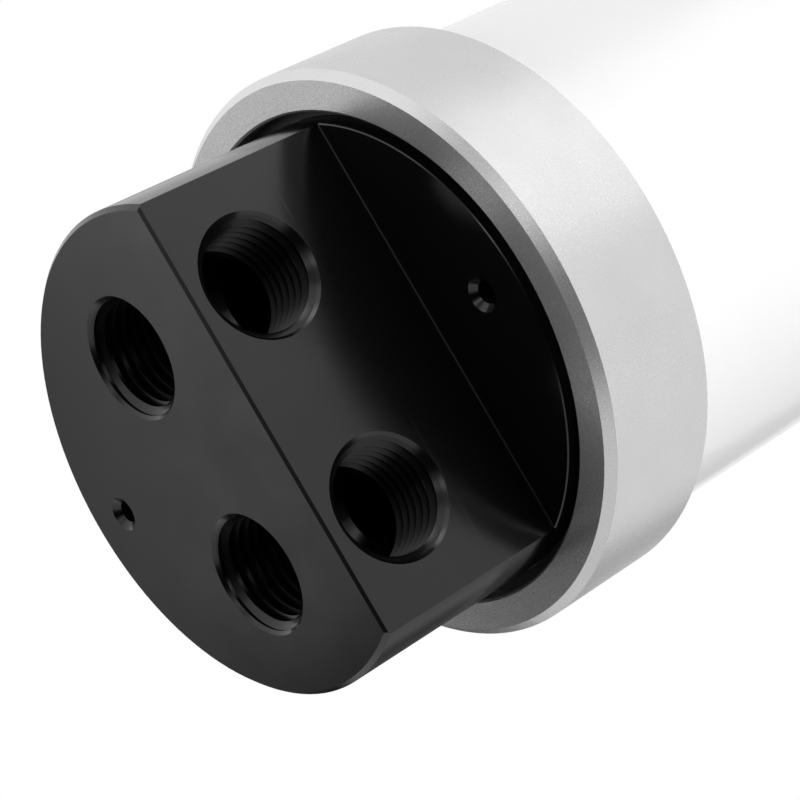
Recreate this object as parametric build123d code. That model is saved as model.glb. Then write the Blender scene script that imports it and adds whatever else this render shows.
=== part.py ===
from build123d import *
import math
import os

# Cylindrical coolant reservoir: a translucent tube between a D-shaped port block and a screwed cap.
# Millimetres, +Z up the tube's axis, origin at the centre of the foot's bottom face, flat side towards -Y.

# Translucent tube
tube_outer_radius = 30.0
tube_wall = 5.0
tube_length = 160.0
tube_edge_break = 0.3

# Forms that the port block and the cap share
turned_inset = 2.8
disc_height = 3.15
screw_thread_depth = 1.0
screw_thread_length = 7.5
spigot_clearance = 0.1
spigot_length = 9.0
spigot_lead_in = 0.6
thread_relief = 0.8
thread_relief_end = 1.2

# D-shaped foot with its ports
foot_height = 24.55
flat_offset = 12.15
foot_edge_break = 0.5
flat_edge_break = 0.31
floor_edge_break = 0.12
flat_root_fillet = 0.25
channel_inset = 14.35
side_port_height = 8.62
side_port_depth = 10.4
bottom_port_offset = 3.16
bottom_port_depth = 15.4
drill_point_height = 1.2
drill_blunting = 0.5
gallery_radius = 4.5
gallery_socket_radius = 5.5
gallery_socket_depth = 5.0

# G1/4 port threads, bored at the thread's outer radius
port_radius = 6.58
port_mouth_radius = 6.93

# M3 screw holes for a bracket, bored at the tapping radius
screw_hole_radius = 1.25
screw_hole_depth = 8.0
screw_mouth_radius = 1.95
screw_point_height = 0.6
foot_screw_inset = 6.65
floor_screw_inset = 5.95
cap_screw_inset = 4.7
cap_screw_count = 3

# Aluminium collars
collar_step = 2.8
collar_height = 15.4
collar_lip_gap = 1.2
collar_lip_height = 2.4
collar_front_chamfer = 0.95
collar_rear_break = 0.25

# Flat gaskets between the tube's ends and the collars' lips
gasket_thickness = 0.6
block_gasket_fit = 0.05
cap_gasket_gap = 0.3
gasket_edge_gap = 0.1

# Cap ports and plugs
cap_port_count = 3
cap_port_wall = 1.78
plug_shank_length = 7.0
plug_tip_break = 0.6
plug_neck_radius = 5.6
plug_neck_height = 1.2
fill_head_radius = 11.0
fill_head_height = 9.0
fill_head_break = 0.8
head_under_break = 0.3
grip_count = 20
grip_cut_radius = 1.1
grip_cut_depth = 0.55
grip_collar_height = 1.6
coin_slot_width = 1.8
coin_slot_depth = 1.8
coin_slot_margin = 2.8
stop_head_radius = 8.75
stop_head_height = 3.2
stop_head_break = 0.5
stop_key_width = 6.0
stop_key_depth = 4.5

# Seals
seal_section_radius = 0.85
seal_groove_width = 2.3
seal_pitch = 3.6
seal_inset = 2.7
plug_seal_section_radius = 0.95
riser_seal_section_radius = 0.7
riser_seal_groove_width = 1.8

# Riser that lifts the incoming coolant, and the cross over the outlet
riser_outer_radius = 5.0
riser_bore_radius = 3.5
riser_length = 104.0
riser_seat_height = 2.0
nipple_key_width = 15.0
nipple_key_height = 3.5
nipple_sleeve_radius = 7.3
nipple_sleeve_height = 9.5
nipple_bore_radius = 3.6
nipple_edge_break = 0.4
riser_seal_height = 6.2
cross_blade = 1.2
cross_radius = 9.0
cross_height = 6.0
cross_tail_depth = 4.6
cross_corner_radius = 1.5
cross_tail_overlap = 0.5

# Clearances
seal_clearance = 0.05
port_thread_clearance = 0.08
screw_thread_clearance = 0.06
bond_gap = 0.04
gasket_gap = 0.02
cap_seat_gap = 0.1
head_seat_gap = 0.35
socket_clearance = 0.05
nipple_tail_gap = 0.2
counterbore_gap = 0.3

# How far a cutting tool runs past the face it cuts
overrun = 1.0

# Radii and offsets that follow from the tube
tube_bore_radius = tube_outer_radius - tube_wall
turned_radius = tube_outer_radius - turned_inset
screw_thread_radius = tube_bore_radius + screw_thread_depth
spigot_radius = tube_bore_radius - spigot_clearance
collar_outer_radius = tube_outer_radius + collar_step
collar_lip_radius = turned_radius + collar_lip_gap
seal_groove_radius = tube_bore_radius - 2 * (seal_section_radius + seal_clearance)
seal_ring_radius = seal_groove_radius + seal_clearance + seal_section_radius
cap_port_circle_radius = seal_groove_radius - cap_port_wall - port_radius
cap_screw_circle_radius = turned_radius - cap_screw_inset
foot_screw_offset = turned_radius - foot_screw_inset
floor_screw_offset = turned_radius - floor_screw_inset
channel_x = turned_radius - channel_inset
left_channel = (-channel_x, bottom_port_offset)
right_channel = (channel_x, bottom_port_offset)

# Heights that follow from the sizes above
shoulder_z = foot_height + disc_height
lip_depth = gasket_thickness + collar_lip_height
collar_front_z = shoulder_z - lip_depth
block_top_z = shoulder_z + screw_thread_length + spigot_length
tube_top_z = shoulder_z + tube_length
cap_seat_z = tube_top_z + cap_seat_gap
cap_face_z = cap_seat_z + disc_height
cap_bottom_z = cap_seat_z - screw_thread_length - spigot_length
seal_insets = (seal_inset, seal_inset + seal_pitch)
head_seat_z = cap_face_z + head_seat_gap


def turned(points, centre=(0, 0)):
    """A solid turned about a vertical axis from radius and height pairs."""
    face = make_face(Plane.XZ * Polyline(*points, close=True))
    return Pos(centre[0], centre[1], 0) * revolve(face, Axis.Z, 360)


def ring(section_radius, ring_radius, height, centre=(0, 0)):
    """A round-section seal."""
    return Pos(centre[0], centre[1], height) * Torus(ring_radius, section_radius)


def port_bore(depth):
    """Tool for a port: countersunk mouth at z = 0, bore and blunt end towards +z."""
    mouth = port_mouth_radius - port_radius
    return turned([
        (0, -overrun), (port_mouth_radius + overrun, -overrun), (port_radius, mouth),
        (port_radius, depth), (0, depth),
    ])


def screw_bore():
    """Tool for a small tapped hole with its mouth at z = 0, going towards +z."""
    mouth = screw_mouth_radius - screw_hole_radius
    return turned([
        (0, -overrun), (screw_mouth_radius + overrun, -overrun), (screw_hole_radius, mouth),
        (screw_hole_radius, screw_hole_depth), (0, screw_hole_depth + screw_point_height),
    ])


def circles_at(solid, height):
    """Round edges of a solid at a height."""
    circles = solid.edges().filter_by(GeomType.CIRCLE)
    return [edge for edge in circles if math.isclose(edge.center().Z, height, abs_tol=1e-3)]


def end_stub(disc_start, seat, tip):
    """Disc, screw thread and spigot of an end piece, up to its tip, with a groove for each seal."""
    way = 1 if tip > seat else -1
    thread_end = seat + way * screw_thread_length
    stub = turned([
        (0, disc_start), (turned_radius, disc_start), (turned_radius, seat),
        (spigot_radius, seat), (spigot_radius, seat + way * thread_relief),
        (screw_thread_radius, seat + way * thread_relief_end), (screw_thread_radius, thread_end),
        (spigot_radius, thread_end), (spigot_radius, tip - way * spigot_lead_in),
        (spigot_radius - spigot_lead_in, tip), (0, tip),
    ])
    half = seal_groove_width / 2
    for inset in seal_insets:
        middle = tip - way * inset
        stub -= turned([
            (seal_groove_radius, middle - half), (spigot_radius + overrun, middle - half),
            (spigot_radius + overrun, middle + half), (seal_groove_radius, middle + half),
        ])
    return stub


def make_port_block():
    """The black block: D-shaped foot, flush disc, screw thread and spigot, with ports and galleries."""
    foot = turned([
        (0, 0), (turned_radius - foot_edge_break, 0), (turned_radius, foot_edge_break),
        (turned_radius, shoulder_z), (0, shoulder_z),
    ])
    block = foot + end_stub(foot_height, shoulder_z, block_top_z)
    reach = 2 * turned_radius
    waste = Pos(0, -flat_offset - reach / 2, foot_height - reach / 2) * Box(reach, reach, reach)
    block = block - waste
    chord = block.edges().filter_by(Axis.X).group_by(Axis.Z)[0]
    block = chamfer(chord, flat_edge_break)
    rim = [edge for edge in circles_at(block, foot_height) if edge.center().Y < -flat_offset]
    block = chamfer(rim, floor_edge_break)
    flat_lines = block.edges().filter_by(Axis.X)
    root = [line for line in flat_lines if math.isclose(line.center().Z, foot_height, abs_tol=1e-3)]
    block = fillet(root, flat_root_fillet)
    for x in (-channel_x, channel_x):
        block -= Pos(x, bottom_port_offset, 0) * port_bore(bottom_port_depth)
        block -= Pos(x, -flat_offset, side_port_height) * Rot(X=-90) * port_bore(side_port_depth)
        block -= turned([
            (0, bottom_port_depth - overrun), (port_radius - drill_blunting, bottom_port_depth - overrun),
            (port_radius - drill_blunting, bottom_port_depth),
            (gallery_radius, bottom_port_depth + drill_point_height),
            (gallery_radius, block_top_z - gallery_socket_depth),
            (gallery_socket_radius, block_top_z - gallery_socket_depth),
            (gallery_socket_radius, block_top_z + overrun), (0, block_top_z + overrun),
        ], (x, bottom_port_offset))
    block -= Pos(0, foot_screw_offset, 0) * screw_bore()
    block -= Pos(0, -floor_screw_offset, foot_height) * screw_bore()
    return block


def make_tube():
    """Tube, bored out at both ends for the screw threads."""
    inner = screw_thread_radius + screw_thread_clearance
    depth = screw_thread_length + counterbore_gap
    outer = tube_outer_radius
    edge = tube_edge_break
    low, high = shoulder_z, tube_top_z
    step = inner - tube_bore_radius
    return turned([
        (inner, low), (outer - edge, low), (outer, low + edge), (outer, high - edge), (outer - edge, high),
        (inner, high), (inner, high - depth), (tube_bore_radius, high - depth - step),
        (tube_bore_radius, low + depth + step), (inner, low + depth),
    ])


def make_collar(front, way):
    """Collar bonded over a tube end. way is 1 where it runs up from its front face, -1 where down."""
    bore = tube_outer_radius + bond_gap
    rear = front + way * collar_height
    lip = front + way * collar_lip_height
    side = collar_front_chamfer
    edge = collar_rear_break
    return turned([
        (collar_lip_radius + edge, front), (collar_outer_radius - side, front),
        (collar_outer_radius, front + way * side), (collar_outer_radius, rear - way * edge),
        (collar_outer_radius - edge, rear), (bore + edge, rear), (bore, rear - way * edge), (bore, lip),
        (collar_lip_radius, lip), (collar_lip_radius, front + way * edge),
    ])


def make_gasket(tube_end, way, bore_gap):
    """Flat ring on a tube's end, round the turned disc. way is -1 below the tube and 1 above it."""
    near = tube_end + way * gasket_gap
    far = tube_end + way * (gasket_thickness - gasket_gap)
    outer = tube_outer_radius - gasket_edge_gap
    bore = turned_radius + bore_gap
    return turned([(bore, near), (outer, near), (outer, far), (bore, far)])


def cap_port_places():
    """Centres of the cap's ports, the filling port first, towards the back."""
    places = []
    for index in range(cap_port_count):
        angle = math.pi / 2 + 2 * math.pi * index / cap_port_count
        places.append((cap_port_circle_radius * math.cos(angle), cap_port_circle_radius * math.sin(angle)))
    return places


def make_top_cap():
    """Screwed cap with its ports right through and bracket holes between them."""
    cap = end_stub(cap_face_z, cap_seat_z, cap_bottom_z)
    cap = chamfer(circles_at(cap, cap_face_z), floor_edge_break)
    depth = cap_face_z - cap_bottom_z
    for x, y in cap_port_places():
        cap -= Pos(x, y, cap_face_z) * Rot(X=180) * port_bore(depth + overrun)
    for index in range(cap_screw_count):
        angle = 270 + 360 * index / cap_screw_count
        cap -= Rot(Z=angle) * Pos(cap_screw_circle_radius, 0, cap_face_z) * Rot(X=180) * screw_bore()
    return cap


def plug_body(head_radius, head_height, head_break):
    """Threaded shank, neck and head of a plug, with the seal's recess under the head."""
    shank = port_radius - port_thread_clearance
    recess_top = cap_face_z + 2 * (plug_seal_section_radius + seal_clearance)
    recess_radius = plug_neck_radius + 2 * (plug_seal_section_radius + seal_clearance)
    thread_start = cap_face_z - plug_neck_height
    tip = cap_face_z - plug_shank_length
    top = head_seat_z + head_height
    return turned([
        (0, tip), (shank - plug_tip_break, tip), (shank, tip + plug_tip_break), (shank, thread_start),
        (plug_neck_radius, thread_start), (plug_neck_radius, recess_top), (recess_radius, recess_top),
        (recess_radius, head_seat_z), (head_radius - head_under_break, head_seat_z),
        (head_radius, head_seat_z + head_under_break),
        (head_radius, top - head_break), (head_radius - head_break, top), (0, top),
    ])


def make_plug_seal(place):
    """Seal round a plug's neck, on the cap's face."""
    height = cap_face_z + seal_clearance + plug_seal_section_radius
    middle = plug_neck_radius + seal_clearance + plug_seal_section_radius
    return ring(plug_seal_section_radius, middle, height, place)


def make_fill_plug(place):
    """Hand plug with a fluted grip and a coin slot."""
    plug = plug_body(fill_head_radius, fill_head_height, fill_head_break)
    top = head_seat_z + fill_head_height
    flute_start = head_seat_z + grip_collar_height
    flute_height = top + overrun - flute_start
    flute = Pos(fill_head_radius + grip_cut_radius - grip_cut_depth, 0, flute_start + flute_height / 2)
    flute = flute * Cylinder(grip_cut_radius, flute_height)
    for index in range(grip_count):
        plug -= Rot(Z=360 * index / grip_count) * flute
    slot = SlotOverall(2 * (fill_head_radius - coin_slot_margin), coin_slot_width)
    plug -= Pos(0, 0, top - coin_slot_depth) * extrude(slot, amount=coin_slot_depth + overrun)
    return Pos(place[0], place[1], 0) * plug


def make_stop_plug(place):
    """Low plug with a hexagonal key socket."""
    plug = plug_body(stop_head_radius, stop_head_height, stop_head_break)
    top = head_seat_z + stop_head_height
    key = extrude(RegularPolygon(stop_key_width / 2, 6, major_radius=False), amount=stop_key_depth + overrun)
    plug -= Pos(0, 0, top - stop_key_depth) * key
    return Pos(place[0], place[1], 0) * plug


def make_nipple(place):
    """Socket that holds the riser over its gallery."""
    tail = gallery_socket_radius - socket_clearance
    socket = riser_outer_radius + socket_clearance
    floor = block_top_z + riser_seat_height
    top = block_top_z + nipple_sleeve_height
    groove = block_top_z + riser_seal_height
    half = riser_seal_groove_width / 2
    groove_radius = riser_outer_radius + 2 * (riser_seal_section_radius + seal_clearance)
    tail_end = block_top_z - gallery_socket_depth + nipple_tail_gap
    edge = nipple_edge_break
    sleeve = turned([
        (nipple_bore_radius, tail_end), (tail, tail_end), (tail, block_top_z),
        (nipple_sleeve_radius, block_top_z), (nipple_sleeve_radius, top - edge),
        (nipple_sleeve_radius - edge, top), (socket + edge, top), (socket, top - edge),
        (socket, groove + half),
        (groove_radius, groove + half), (groove_radius, groove - half), (socket, groove - half),
        (socket, floor), (nipple_bore_radius, floor),
    ])
    key = extrude(RegularPolygon(nipple_key_width / 2, 6, major_radius=False), amount=nipple_key_height)
    key -= Cylinder((nipple_sleeve_radius + socket) / 2, 4 * nipple_key_height)
    return Pos(place[0], place[1], 0) * (sleeve + Pos(0, 0, block_top_z) * key)


def make_riser(place):
    """Thin tube that stands in the nipple."""
    low = block_top_z + riser_seat_height
    high = low + riser_length
    return turned([
        (riser_bore_radius, low), (riser_outer_radius, low),
        (riser_outer_radius, high), (riser_bore_radius, high),
    ], place)


def make_riser_seal(place):
    """Seal between the riser and the nipple."""
    middle = riser_outer_radius + seal_clearance + riser_seal_section_radius
    return ring(riser_seal_section_radius, middle, block_top_z + riser_seal_height, place)


def make_outlet_cross(place):
    """Crossed blades that stop a vortex over the outlet, with a tail in the gallery's socket."""
    tail = gallery_socket_radius - socket_clearance
    upper = Rectangle(2 * cross_radius, cross_height)
    upper = fillet(upper.vertices().group_by(Axis.Y)[-1], cross_corner_radius)
    blade = Pos(0, 0, block_top_z + cross_height / 2) * extrude(Plane.XZ * upper, cross_blade / 2, both=True)
    tail_height = cross_tail_depth + cross_tail_overlap
    tail_centre = block_top_z + cross_tail_overlap - tail_height / 2
    blade += Pos(0, 0, tail_centre) * Box(2 * tail, cross_blade, tail_height)
    cross = blade + Rot(Z=90) * blade
    hold = Pos(0, 0, block_top_z + cross_height / 2) * Cylinder(cross_radius, cross_height)
    hold += Pos(0, 0, tail_centre) * Cylinder(tail, tail_height)
    return Pos(place[0], place[1], 0) * (cross & hold)


fill_place, left_place, right_place = cap_port_places()
block_seals = [ring(seal_section_radius, seal_ring_radius, block_top_z - inset) for inset in seal_insets]
cap_seals = [ring(seal_section_radius, seal_ring_radius, cap_bottom_z + inset) for inset in seal_insets]

parts = {
    "port_block": make_port_block(),
    "lower_collar": make_collar(collar_front_z, 1),
    "lower_gasket": make_gasket(shoulder_z, -1, block_gasket_fit),
    "block_wet_seal": block_seals[0],
    "block_dry_seal": block_seals[1],
    "tank_tube": make_tube(),
    "upper_collar": make_collar(tube_top_z + lip_depth, -1),
    "upper_gasket": make_gasket(tube_top_z, 1, cap_gasket_gap),
    "riser_nipple": make_nipple(left_channel),
    "riser_seal": make_riser_seal(left_channel),
    "riser_tube": make_riser(left_channel),
    "outlet_cross": make_outlet_cross(right_channel),
    "cap_wet_seal": cap_seals[0],
    "cap_dry_seal": cap_seals[1],
    "top_cap": make_top_cap(),
    "fill_plug_seal": make_plug_seal(fill_place),
    "fill_plug": make_fill_plug(fill_place),
    "left_plug_seal": make_plug_seal(left_place),
    "left_stop_plug": make_stop_plug(left_place),
    "right_plug_seal": make_plug_seal(right_place),
    "right_stop_plug": make_stop_plug(right_place),
}

os.makedirs("parts", exist_ok=True)
for node, solid in parts.items():
    export_step(solid, f"parts/{node}.step")
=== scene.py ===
import math

import bmesh
import bpy
from mathutils import Matrix, Vector


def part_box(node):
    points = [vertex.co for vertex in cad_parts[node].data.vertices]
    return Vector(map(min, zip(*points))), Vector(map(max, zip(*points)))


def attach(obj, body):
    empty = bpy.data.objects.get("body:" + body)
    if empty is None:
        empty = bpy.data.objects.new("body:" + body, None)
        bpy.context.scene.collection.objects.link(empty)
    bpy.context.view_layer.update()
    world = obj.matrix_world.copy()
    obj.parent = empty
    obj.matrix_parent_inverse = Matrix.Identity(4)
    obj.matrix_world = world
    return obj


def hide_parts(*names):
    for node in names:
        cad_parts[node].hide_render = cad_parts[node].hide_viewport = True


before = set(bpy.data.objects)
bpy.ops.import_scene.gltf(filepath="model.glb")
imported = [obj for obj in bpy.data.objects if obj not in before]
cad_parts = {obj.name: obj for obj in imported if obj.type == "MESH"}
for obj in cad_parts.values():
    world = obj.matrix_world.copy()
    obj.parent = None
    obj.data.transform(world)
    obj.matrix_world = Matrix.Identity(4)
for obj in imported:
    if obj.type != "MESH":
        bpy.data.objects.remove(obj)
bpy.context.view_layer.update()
mm = 0.001  # lengths in the dictionaries are in mm, where no note says metres
sharpAngle = math.radians(35)  # faces that meet at more than this show an edge
cutterFacets = 96
print("frame loaded:", len(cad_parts), "parts")


def hexColour(code):  # sRGB hex to linear
    parts = [int(code[i:i + 2], 16) / 255 for i in (1, 3, 5)]
    return tuple(c / 12.92 if c <= 0.04045 else ((c + 0.055) / 1.055) ** 2.4 for c in parts) + (1.0,)


def addNode(tree, kind, settings=None, inputs=None):  # one node, its settings, and its inputs: values or links
    node = tree.nodes.new(kind)
    for name, value in (settings or {}).items():
        setattr(node, name, value)
    for name, value in (inputs or {}).items():
        if isinstance(value, bpy.types.NodeSocket):
            tree.links.new(value, node.inputs[name])
        else:
            node.inputs[name].default_value = value
    return node


def calculate(tree, operation, *values):
    return addNode(tree, "ShaderNodeMath", {"operation": operation}, dict(enumerate(values))).outputs[0]


def placed(name, data):  # a new object, linked into the scene
    thing = bpy.data.objects.new(name, data)
    bpy.context.scene.collection.objects.link(thing)
    return thing


def finishPiece(name, mesh, material, body):
    work = bmesh.new()
    work.from_mesh(mesh)
    bmesh.ops.recalc_face_normals(work, faces=work.faces)
    for face in work.faces:
        face.smooth = True
    for edge in work.edges:
        if len(edge.link_faces) == 2 and edge.calc_face_angle(0) > sharpAngle:
            edge.smooth = False
    work.to_mesh(mesh)
    work.free()
    mesh.materials.clear()
    mesh.materials.append(material)
    piece = placed(name, mesh)
    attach(piece, body)
    return piece


def turnedPiece(name, profile, steps, material, body):  # turns a closed profile of radius and height
    verts = []
    faces = []
    count = len(profile)
    for step in range(steps):
        angle = 2 * math.pi * step / steps
        for radius, height in profile:
            verts.append((radius * math.cos(angle), radius * math.sin(angle), height))
    for step in range(steps):
        following = (step + 1) % steps
        for i in range(count):
            j = (i + 1) % count
            faces.append((step * count + i, following * count + i, following * count + j, step * count + j))
    mesh = bpy.data.meshes.new(name)
    mesh.from_pydata(verts, [], faces)
    return finishPiece(name, mesh, material, body)


# The photo's camera, from a fit to the outlines: it looks up at the base from the front and below
camera = {"position": (11.167, -215.244, -133.922), "angle": 18.256, "clipStart": 0.01,
          "right": (0.50549634, -0.50169492, 0.70197981), "down": (0.86247119, 0.31722042, -0.39435346),
          "forward": (-0.0248372, 0.80478159, 0.59305118)}
cameraData = bpy.data.cameras.new("photoCamera")
cameraData.angle = math.radians(camera["angle"])
cameraData.clip_start = camera["clipStart"]
cameraObject = placed("photoCamera", cameraData)
turn = Matrix((camera["right"], [-v for v in camera["down"]], [-v for v in camera["forward"]]))
cameraObject.matrix_world = (Matrix.Translation(Vector(camera["position"]) * mm)
                             @ turn.transposed().to_4x4())
bpy.context.scene.camera = cameraObject

# White surroundings, four soft lamps and a floor. Metres, apart from floorDrop
studio = {"background": "#ffffff", "fill": 0.45, "floorSize": 4.0, "floorDrop": 0.3, "floorColour": "#f4f4f4",
          "lampAim": (0, 0, 0.08),
          "lamps": {
              "lampAbove": {"at": (-0.10, 0.30, 0.95), "size": 0.9, "power": 6.5},
              "lampFront": {"at": (-0.75, -2.40, 0.90), "size": 1.5, "power": 63.0},
              "lampRight": {"at": (1.80, -1.38, 0.80), "size": 1.35, "power": 31.0},
              "lampUnder": {"at": (-0.45, 0.35, -0.80), "size": 0.7, "power": 6.0},
          }}
# The light tent, which only shiny surfaces show: levels, and the X, Y or Z of a direction where each one fades
tent = {"upper": 0.94, "horizon": (0.10, 0.45), "behindTop": (0.565, 0.625),
        "panel": 0.06, "panelEdges": ((0.498, -0.867, 0.0), (-0.777, -0.630, 0.0)), "panelFade": (0.0, 0.02),
        "lowLeft": 1.25, "lowNear": 0.42, "lowFar": 0.09, "nearFar": (-0.4, 0.4), "lowFade": (-0.40, -0.09),
        "lowRight": 0.12, "rightFade": (-0.03, 0.06), "rightPanel": 0.85, "rightPanelEdge": (0.50, 0.66),
        "farPanel": 0.92, "farPanelLow": (-0.63, -0.57), "farPanelHigh": (-0.54, -0.47), "farPanelSpill": 0.2,
        "farPanelRight": (0.02, 0.085), "farPanelLeft": (-0.17, -0.07), "farPanelNear": (0.2, 0.5)}
# Its round patches: the direction, the cosines where each one starts and is full, and what it adds or takes
patches = {"key": {"at": (-0.45, -0.60, 0.66), "edge": (0.85, 0.95), "gain": 0.48},
           "darkCorner": {"at": (0.50, 0.64, 0.58), "edge": (0.96, 0.995), "depth": 0.45},
           "darkSpot": {"at": (0.63, 0.52, 0.575), "edge": (0.990, 0.998), "depth": 0.60},
           "behind": {"at": (0.17, 0.85, 0.50), "edge": (0.86, 0.96), "depth": 0.90},
           "dimSpot": {"at": (-0.58, -0.47, -0.665), "edge": (0.955, 0.99), "depth": 0.7},
           "brightSpot": {"at": (-0.195, 0.788, -0.589), "edge": (0.9955, 0.9992), "gain": 1.0},
           "glint": {"at": (-0.31, -0.61, -0.725), "edge": (0.985, 0.996), "gain": 0.9},
           "darkFront": {"at": (-0.21, -0.97, -0.05), "edge": (0.80, 0.95), "depth": 0.80},
           "sideLamp": {"at": (-0.95, -0.22, 0.06), "edge": (0.94, 0.985), "gain": 1.9},
           "lensHole": {"at": (0.20, -0.61, -0.765), "edge": (0.935, 0.985), "depth": 0.95}}
bpy.context.scene.view_settings.view_transform = "Standard"

world = bpy.data.worlds.new("studioWorld")
bpy.context.scene.world = world
world.use_nodes = True
tree = world.node_tree
tree.nodes.clear()
lightPath = addNode(tree, "ShaderNodeLightPath").outputs
cameraOrGloss = calculate(tree, "MAXIMUM", lightPath["Is Camera Ray"], lightPath["Is Glossy Ray"])
seen = calculate(tree, "MAXIMUM", cameraOrGloss, lightPath["Is Transmission Ray"])
whiteLight = hexColour(studio["background"])
white = addNode(tree, "ShaderNodeBackground", inputs={"Color": whiteLight, "Strength": 1.0})
fill = addNode(tree, "ShaderNodeBackground", inputs={"Color": whiteLight, "Strength": studio["fill"]})
plain = addNode(tree, "ShaderNodeMixShader", inputs={0: seen, 1: fill.outputs[0], 2: white.outputs[0]})
way = addNode(tree, "ShaderNodeTexCoord").outputs["Generated"]
wayParts = addNode(tree, "ShaderNodeSeparateXYZ", inputs={0: way}).outputs


def fade(value, edge, low, high):
    return addNode(tree, "ShaderNodeMapRange", {"interpolation_type": "SMOOTHSTEP"}, {
        "Value": value, "From Min": edge[0], "From Max": edge[1], "To Min": low, "To Max": high}).outputs[0]


def towards(direction, edge, low, high):  # low away from a direction, high about it
    turned = addNode(tree, "ShaderNodeVectorMath", {"operation": "DOT_PRODUCT"}, {0: way, 1: direction})
    return fade(turned.outputs["Value"], edge, low, high)


def patch(name):  # the light that a patch adds, or the share of light that it leaves
    look = patches[name]
    if "gain" in look:
        return towards(look["at"], look["edge"], 0.0, look["gain"])
    return towards(look["at"], look["edge"], 1.0, 1 - look["depth"])


def patched(light, names):
    for name in names:
        light = calculate(tree, "ADD" if "gain" in patches[name] else "MULTIPLY", light, patch(name))
    return light


sides = [towards(edge, tent["panelFade"], 0.0, tent["panel"]) for edge in tent["panelEdges"]]
upper = calculate(tree, "ADD", calculate(tree, "MINIMUM", *sides), tent["upper"])
upper = patched(upper, ("key", "darkCorner", "darkSpot"))
behind = calculate(tree, "MAXIMUM", patch("behind"), fade(wayParts["Z"], tent["behindTop"], 0.0, 1.0))
upper = calculate(tree, "MULTIPLY", upper, behind)
middle = fade(wayParts["Y"], tent["nearFar"], tent["lowNear"], tent["lowFar"])
lower = fade(wayParts["X"], tent["lowFade"], tent["lowLeft"], middle)
lower = calculate(tree, "MULTIPLY", lower, fade(wayParts["X"], tent["rightFade"], 1.0, tent["lowRight"]))
lower = patched(lower, ("dimSpot",))
lower = calculate(tree, "ADD", lower, fade(wayParts["X"], tent["rightPanelEdge"], 0.0, tent["rightPanel"]))
farPanel = fade(wayParts["Z"], tent["farPanelLow"], 0.0, tent["farPanel"])
for axis, edge, low, high in (("Z", "farPanelHigh", 1.0, tent["farPanelSpill"]), ("X", "farPanelRight", 1.0, 0.0),
                              ("X", "farPanelLeft", 0.0, 1.0), ("Y", "farPanelNear", 0.0, 1.0)):
    farPanel = calculate(tree, "MULTIPLY", farPanel, fade(wayParts[axis], tent[edge], low, high))
lower = calculate(tree, "ADD", lower, farPanel)
lower = patched(lower, ("brightSpot", "glint"))
above = fade(wayParts["Z"], tent["horizon"], 0.0, 1.0)
strength = addNode(tree, "ShaderNodeMix", inputs={0: above, 2: lower, 3: upper}).outputs[0]
strength = patched(strength, ("darkFront", "sideLamp", "lensHole"))
shine = addNode(tree, "ShaderNodeBackground", inputs={"Color": whiteLight, "Strength": strength})
mixed = addNode(tree, "ShaderNodeMixShader", inputs={
    0: lightPath["Is Glossy Ray"], 1: plain.outputs[0], 2: shine.outputs[0]})
addNode(tree, "ShaderNodeOutputWorld", inputs={"Surface": mixed.outputs[0]})

for name, lamp in studio["lamps"].items():
    data = bpy.data.lights.new(name, "AREA")
    data.shape = "DISK"
    data.size = lamp["size"]
    data.energy = lamp["power"]
    light = placed(name, data)
    light.location = lamp["at"]
    aim = Vector(studio["lampAim"]) - Vector(lamp["at"])
    light.rotation_euler = aim.to_track_quat("-Z", "Y").to_euler()
    light.visible_camera = False
    light.visible_glossy = False

floorMaterial = bpy.data.materials.new("paleFloor")  # seen from above only, so a low camera looks past it
floorMaterial.use_nodes = True
tree = floorMaterial.node_tree
tree.nodes.clear()
fromAbove = calculate(tree, "SUBTRACT", 1.0, addNode(tree, "ShaderNodeNewGeometry").outputs["Backfacing"])
shown = calculate(tree, "MULTIPLY", fromAbove, addNode(tree, "ShaderNodeLightPath").outputs["Is Camera Ray"])
paint = addNode(tree, "ShaderNodeBsdfDiffuse", inputs={"Color": hexColour(studio["floorColour"])})
clear = addNode(tree, "ShaderNodeBsdfTransparent")
mixed = addNode(tree, "ShaderNodeMixShader", inputs={0: shown, 1: clear.outputs[0], 2: paint.outputs[0]})
addNode(tree, "ShaderNodeOutputMaterial", inputs={"Surface": mixed.outputs[0]})
half = studio["floorSize"] / 2
drop = -studio["floorDrop"] * mm
floorMesh = bpy.data.meshes.new("floor")
floorMesh.from_pydata([(-half, -half, drop), (half, -half, drop), (half, half, drop), (-half, half, drop)],
                      [], [(0, 1, 2, 3)])
floorMesh.materials.append(floorMaterial)
floor = placed("floor", floorMesh)
print("camera, lamps and floor ready")


def newMaterial(name, values):  # a Principled material with its plain values, and the object's coordinates
    material = bpy.data.materials.new(name)
    material.use_nodes = True
    tree = material.node_tree
    tree.nodes.clear()
    shader = addNode(tree, "ShaderNodeBsdfPrincipled", inputs=values)
    addNode(tree, "ShaderNodeOutputMaterial", inputs={"Surface": shader.outputs[0]})
    place = addNode(tree, "ShaderNodeTexCoord").outputs["Object"]
    return material, tree, shader, place


def connect(tree, shader, sources):
    for name, source in sources.items():
        tree.links.new(source, shader.inputs[name])


def stretched(tree, place, scale):  # object coordinates scaled per axis, for streaks
    return addNode(tree, "ShaderNodeMapping", inputs={"Vector": place, "Scale": scale}).outputs[0]


def noise(tree, place, scale, detail, roughness=0.5):
    return addNode(tree, "ShaderNodeTexNoise", inputs={
        "Vector": place, "Scale": scale, "Detail": detail, "Roughness": roughness}).outputs["Fac"]


def ramp(tree, source, low, high, fromLow=0.0, fromHigh=1.0):
    return addNode(tree, "ShaderNodeMapRange", inputs={
        "Value": source, "From Min": fromLow, "From Max": fromHigh, "To Min": low, "To Max": high}).outputs[0]


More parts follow.
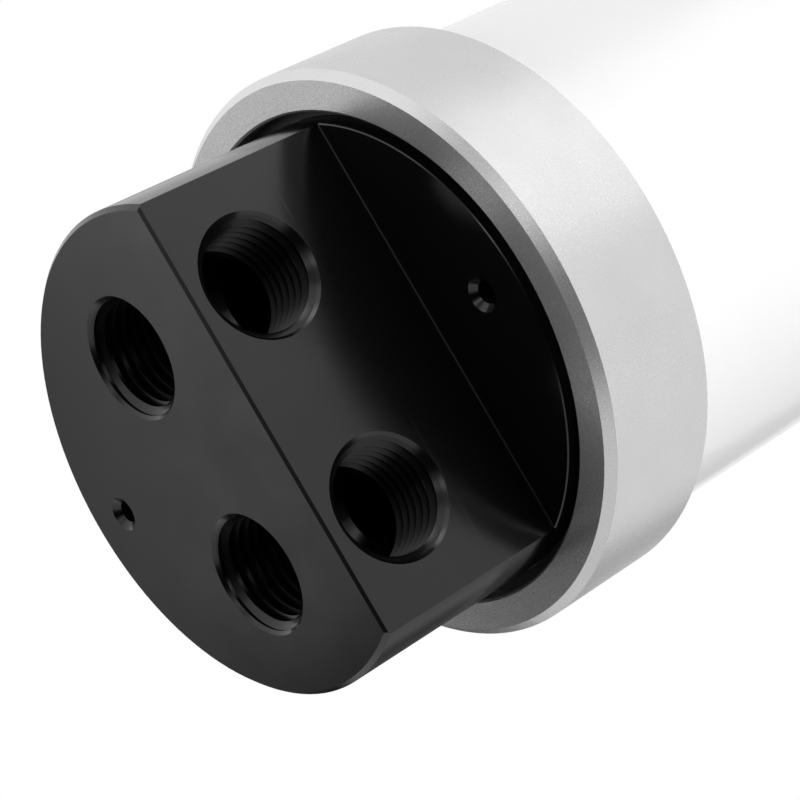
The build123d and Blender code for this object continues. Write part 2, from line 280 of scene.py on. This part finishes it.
def blend(tree, factor, first, second):  # between two hex colours
    return addNode(tree, "ShaderNodeMix", {"data_type": "RGBA"}, {
        0: factor, 6: hexColour(first), 7: hexColour(second)}).outputs[2]


def bumped(tree, height, depth, **more):
    return addNode(tree, "ShaderNodeBump", inputs={
        "Height": height, "Distance": depth * mm, "Strength": 1.0, **more}).outputs[0]


def makeAcetal(name, roughness, lineDepth, gloss):  # black acetal, milled or tapped: satin, with fine tool lines
    look = {"colour": "#070707", "dark": "#040404", "lineSpacing": 0.25, "lineLength": 14.0, "mottle": 9.0,
            "mottleSpan": (0.3, 0.7), "stepHeight": 15.6, "stepWidth": 0.12, "stepDepth": 0.003,
            "flat": -12.15, "flatReach": 0.05}
    material, tree, shader, place = newMaterial(name, {"IOR": gloss})
    across = 1 / (look["lineSpacing"] * mm)
    along = 1 / (look["lineLength"] * mm)
    lines = noise(tree, stretched(tree, place, (along, across, across)), 1.0, detail=3.0, roughness=0.6)
    mottle = noise(tree, place, 1 / (look["mottle"] * mm), detail=4.0)
    spot = addNode(tree, "ShaderNodeSeparateXYZ", inputs={0: place}).outputs
    # The step between two passes of the mill, on the foot's flat alone
    onFlat = calculate(tree, "COMPARE", spot["Y"], look["flat"] * mm, look["flatReach"] * mm)
    rise = ramp(tree, spot["Z"], 0.0, 1.0, look["stepHeight"] * mm, (look["stepHeight"] + look["stepWidth"]) * mm)
    passes = bumped(tree, calculate(tree, "MULTIPLY", rise, onFlat), look["stepDepth"])
    connect(tree, shader, {
        "Base Color": blend(tree, mottle, look["colour"], look["dark"]),
        "Roughness": ramp(tree, mottle, *roughness, *look["mottleSpan"]),
        "Normal": bumped(tree, lines, lineDepth, Normal=passes)})
    return material


def makeBlastedAluminium():  # bead-blasted, clear anodised aluminium: silver, with a fine sparkling grain
    look = {"colour": "#d0d0d0", "shade": "#c6c6c6", "roughness": (0.26, 0.33), "grain": 0.15,
            "grainSpan": (0.35, 0.65), "grainDepth": 0.015, "cloud": 6.0}
    material, tree, shader, place = newMaterial("beadBlastedAluminium", {"Metallic": 0.82})
    grain = noise(tree, place, 1 / (look["grain"] * mm), detail=2.0, roughness=0.6)
    cloud = noise(tree, place, 1 / (look["cloud"] * mm), detail=3.0)
    connect(tree, shader, {
        "Base Color": blend(tree, cloud, look["colour"], look["shade"]),
        "Roughness": ramp(tree, grain, *look["roughness"], *look["grainSpan"]),
        "Normal": bumped(tree, grain, look["grainDepth"])})
    return material


def makeNickel():  # satin nickel on turned brass: warm grey metal with faint lathe rings
    look = {"colour": "#c9c5bd", "roughness": (0.22, 0.30), "ringSpacing": 0.18, "ringStretch": 60,
            "ringSpan": (0.3, 0.7), "ringDepth": 0.002}
    material, tree, shader, place = newMaterial("satinNickel", {
        "Base Color": hexColour(look["colour"]), "Metallic": 1.0})
    along = look["ringStretch"]
    rings = noise(tree, stretched(tree, place, (along, along, 1 / (look["ringSpacing"] * mm))), 1.0, detail=2.0)
    connect(tree, shader, {
        "Roughness": ramp(tree, rings, *look["roughness"], *look["ringSpan"]),
        "Normal": bumped(tree, rings, look["ringDepth"])})
    return material


def makeAcrylic():  # cast acrylic tube, polished: clear, with barely visible drawing lines
    look = {"colour": "#fdfefe", "roughness": (0.004, 0.03), "lineSpacing": 1.6, "lineLength": 70.0,
            "lineSpan": (0.45, 0.75)}
    material, tree, shader, place = newMaterial("polishedAcrylic", {
        "Base Color": hexColour(look["colour"]), "Transmission Weight": 1.0, "IOR": 1.49})
    across = 1 / (look["lineSpacing"] * mm)
    along = 1 / (look["lineLength"] * mm)
    lines = noise(tree, stretched(tree, place, (across, across, along)), 1.0, detail=2.0)
    connect(tree, shader, {"Roughness": ramp(tree, lines, *look["roughness"], *look["lineSpan"])})
    return material


def makeOpal():  # translucent white acrylic, polished: milky and bright, with a clear gloss on top
    look = {"colour": "#f1f1f1", "shade": "#ebebeb", "cloud": 25.0, "roughness": (0.35, 0.45)}
    material, tree, shader, place = newMaterial("polishedOpalAcrylic", {
        "Transmission Weight": 0.25, "IOR": 1.49, "Coat Weight": 1.0, "Coat Roughness": 0.02, "Coat IOR": 1.49})
    cloud = noise(tree, place, 1 / (look["cloud"] * mm), detail=2.0)
    connect(tree, shader, {
        "Base Color": blend(tree, cloud, look["colour"], look["shade"]),
        "Roughness": ramp(tree, cloud, *look["roughness"])})
    return material


def makeRubber():  # nitrile rubber rings: dull black with a slight bloom
    look = {"colour": "#1d1d1e", "bloom": "#2c2c2d", "roughness": (0.55, 0.75), "grain": 0.6}
    material, tree, shader, place = newMaterial("nitrileRubber", {})
    grain = noise(tree, place, 1 / (look["grain"] * mm), detail=3.0)
    connect(tree, shader, {
        "Base Color": blend(tree, grain, look["colour"], look["bloom"]),
        "Roughness": ramp(tree, grain, *look["roughness"])})
    return material


acetal = makeAcetal("machinedBlackAcetal", roughness=(0.16, 0.22), lineDepth=0.0015, gloss=1.48)
tapped = makeAcetal("tappedBlackAcetal", roughness=(0.18, 0.26), lineDepth=0.003, gloss=1.40)
aluminium = makeBlastedAluminium()
nickel = makeNickel()
acrylic = makeAcrylic()
opal = makeOpal()
rubber = makeRubber()
finishes = {"port_block": acetal, "top_cap": acetal, "outlet_cross": acetal, "lower_collar": aluminium,
            "upper_collar": aluminium, "fill_plug": aluminium, "left_stop_plug": nickel, "right_stop_plug": nickel,
            "riser_nipple": nickel, "riser_tube": acrylic, "tank_tube": opal}
for name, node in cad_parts.items():
    node.data.materials.clear()
    node.data.materials.append(finishes.get(name, rubber))
print("finishes ready")

# The tank's tube, turned finely so that its gloss runs without facets
tube = {"bore": 25.0, "counterbore": 26.06, "counterboreDepth": 7.8, "edge": 0.3, "steps": 256}
low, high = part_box("tank_tube")
outer, bottom, top = high.x, low.z, high.z
edge = tube["edge"] * mm
bore = tube["bore"] * mm
wide = tube["counterbore"] * mm
deep = tube["counterboreDepth"] * mm
cone = wide - bore
tubePiece = turnedPiece("opalTube", [
    (wide, bottom), (outer - edge, bottom), (outer, bottom + edge), (outer, top - edge), (outer - edge, top),
    (wide, top), (wide, top - deep), (bore, top - deep - cone), (bore, bottom + deep + cone), (wide, bottom + deep),
], tube["steps"], opal, "reservoir")
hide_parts("tank_tube")
print("tube made")


def makeThreadTree():  # one ridge that winds up the wall of a port
    tipSize = 0.02
    tree = bpy.data.node_groups.new("threadRidge", "GeometryNodeTree")
    sockets = {"Turns": 6.0, "Pitch": 1.0, "Wall Radius": 6.0, "Ridge Height": 0.8, "Base Width": 1.2,
               "Crest Width": 0.2, "Run Out": 0.1}
    ids = {}
    for name, value in sockets.items():
        socket = tree.interface.new_socket(name, in_out="INPUT", socket_type="NodeSocketFloat")
        socket.default_value = value
        ids[name] = socket.identifier
    for name, kind in (("Steps", "NodeSocketInt"), ("Finish", "NodeSocketMaterial")):
        ids[name] = tree.interface.new_socket(name, in_out="INPUT", socket_type=kind).identifier
    tree.interface.new_socket("Geometry", in_out="OUTPUT", socket_type="NodeSocketGeometry")
    given = addNode(tree, "NodeGroupInput").outputs
    length = calculate(tree, "MULTIPLY", given["Turns"], given["Pitch"])
    spiral = addNode(tree, "GeometryNodeCurveSpiral", inputs={
        "Resolution": given["Steps"], "Rotations": given["Turns"], "Start Radius": given["Wall Radius"],
        "End Radius": given["Wall Radius"], "Height": length, "Reverse": True})
    upright = addNode(tree, "GeometryNodeSetCurveNormal", {"mode": "Z_UP"}, {"Curve": spiral.outputs[0]})
    profile = addNode(tree, "GeometryNodeCurvePrimitiveQuadrilateral", {"mode": "TRAPEZOID"}, {
        "Bottom Width": given["Base Width"], "Top Width": given["Crest Width"], "Offset": 0.0,
        "Height": given["Ridge Height"]})
    lift = addNode(tree, "ShaderNodeCombineXYZ", inputs={"Y": calculate(tree, "DIVIDE", given["Ridge Height"], 2.0)})
    onBase = addNode(tree, "GeometryNodeTransform", inputs={
        "Geometry": profile.outputs[0], "Translation": lift.outputs[0]})
    sideways = addNode(tree, "GeometryNodeTransform", inputs={
        "Geometry": onBase.outputs[0], "Rotation": (0, 0, math.pi / 2)})
    along = addNode(tree, "GeometryNodeSplineParameter").outputs["Factor"]
    rise = addNode(tree, "ShaderNodeMapRange", inputs={
        "Value": along, "From Max": given["Run Out"], "To Min": tipSize})
    fallStart = calculate(tree, "SUBTRACT", 1.0, given["Run Out"])
    fall = addNode(tree, "ShaderNodeMapRange", inputs={
        "Value": along, "From Min": fallStart, "From Max": 1.0, "To Min": 1.0, "To Max": tipSize})
    size = calculate(tree, "MINIMUM", rise.outputs[0], fall.outputs[0])
    swept = addNode(tree, "GeometryNodeCurveToMesh", inputs={
        "Curve": upright.outputs[0], "Profile Curve": sideways.outputs[0], "Scale": size, "Fill Caps": True})
    real = addNode(tree, "GeometryNodeRealizeInstances", inputs={"Geometry": swept.outputs[0]})
    painted = addNode(tree, "GeometryNodeSetMaterial", inputs={
        "Geometry": real.outputs[0], "Material": given["Finish"]})
    addNode(tree, "NodeGroupOutput", inputs={"Geometry": painted.outputs[0]})
    return tree, ids


def plainMesh(thing):  # what an object's modifiers make of it
    bpy.context.view_layer.update()
    return bpy.data.meshes.new_from_object(thing.evaluated_get(bpy.context.evaluated_depsgraph_get()))


def treeMesh(name, tree, ids, values):
    holder = placed(name, bpy.data.meshes.new(name))
    modifier = holder.modifiers.new("nodes", "NODES")
    modifier.node_group = tree
    for key, value in values.items():
        modifier[ids[key]] = value
    mesh = plainMesh(holder)
    bpy.data.objects.remove(holder)
    return mesh


def cutAway(mesh, radii, start, end):  # takes a bore's cylinder or a countersink's cone out of a mesh
    cutter = bpy.data.meshes.new("crossingBore")
    work = bmesh.new()
    run = Vector(end) - Vector(start)
    middle = Matrix.Translation((Vector(start) + Vector(end)) / 2)
    bmesh.ops.create_cone(work, cap_ends=True, segments=cutterFacets, radius1=radii[0], radius2=radii[1],
                          depth=run.length, matrix=middle @ run.to_track_quat("Z", "Y").to_matrix().to_4x4())
    work.to_mesh(cutter)
    work.free()
    tool = placed("crossingBore", cutter)
    target = placed("crossed", mesh)
    modifier = target.modifiers.new("cut", "BOOLEAN")
    modifier.operation = "DIFFERENCE"
    modifier.solver = "EXACT"
    modifier.object = tool
    result = plainMesh(target)
    bpy.data.objects.remove(tool)
    bpy.data.objects.remove(target)
    return result


# The four ports' threads: the ridge is sunk a little into the wall, and the cutters reach past the faces
ports = {"spacing": 25.7, "flat": -12.15, "sideHeight": 8.62, "bottomOffset": 3.16, "wall": 6.58, "pitch": 1.337,
         "depth": 0.80, "base": 0.95, "crest": 0.10, "sunk": 0.03, "start": -0.4, "sideTurns": 7.4,
         "bottomTurns": 11.1, "sideDeep": 10.4, "bottomDeep": 15.4, "mouth": 6.93, "countersink": 1.4,
         "runOut": 0.2, "steps": 96, "reach": 1, "clearance": 0.01}
threadTree, threadIds = makeThreadTree()
threadValues = {"Pitch": ports["pitch"] * mm, "Wall Radius": (ports["wall"] + ports["sunk"]) * mm,
                "Ridge Height": (ports["depth"] + ports["sunk"]) * mm, "Base Width": ports["base"] * mm,
                "Crest Width": ports["crest"] * mm, "Steps": ports["steps"], "Finish": tapped}
crossing = ((ports["wall"] - ports["clearance"]) * mm,) * 2
coneRadii = ((ports["mouth"] + ports["reach"]) * mm, (ports["mouth"] - ports["countersink"]) * mm)


def ridge(name, turns):
    return treeMesh(name, threadTree, threadIds, {
        **threadValues, "Turns": turns, "Run Out": ports["runOut"] / turns})


def sideAxis(x, deep):  # a point on the axis of a side port, so deep under the flat
    return x, (ports["flat"] + deep) * mm, ports["sideHeight"] * mm


def baseAxis(x, deep):  # a point on the axis of a base port, so deep over the base
    return x, ports["bottomOffset"] * mm, deep * mm


for side, name in ((-1, "Left"), (1, "Right")):
    x = side * ports["spacing"] / 2 * mm
    out = -ports["reach"]
    sideMesh = ridge("side" + name, ports["sideTurns"])
    sideMesh.transform(Matrix.Translation(sideAxis(x, ports["start"])) @ Matrix.Rotation(-math.pi / 2, 4, "X"))
    sideMesh = cutAway(sideMesh, crossing, baseAxis(x, out), baseAxis(x, ports["bottomDeep"]))
    sideMesh = cutAway(sideMesh, coneRadii, sideAxis(x, out), sideAxis(x, ports["countersink"]))
    finishPiece("sideThread" + name, sideMesh, tapped, "reservoir")
    bottomMesh = ridge("bottom" + name, ports["bottomTurns"])
    bottomMesh.transform(Matrix.Translation(baseAxis(x, ports["start"])))
    bottomMesh = cutAway(bottomMesh, coneRadii, baseAxis(x, out), baseAxis(x, ports["countersink"]))
    bottomMesh = cutAway(bottomMesh, crossing, sideAxis(x, out), sideAxis(x, ports["sideDeep"]))
    finishPiece("bottomThread" + name, bottomMesh, tapped, "reservoir")
print("port threads made")
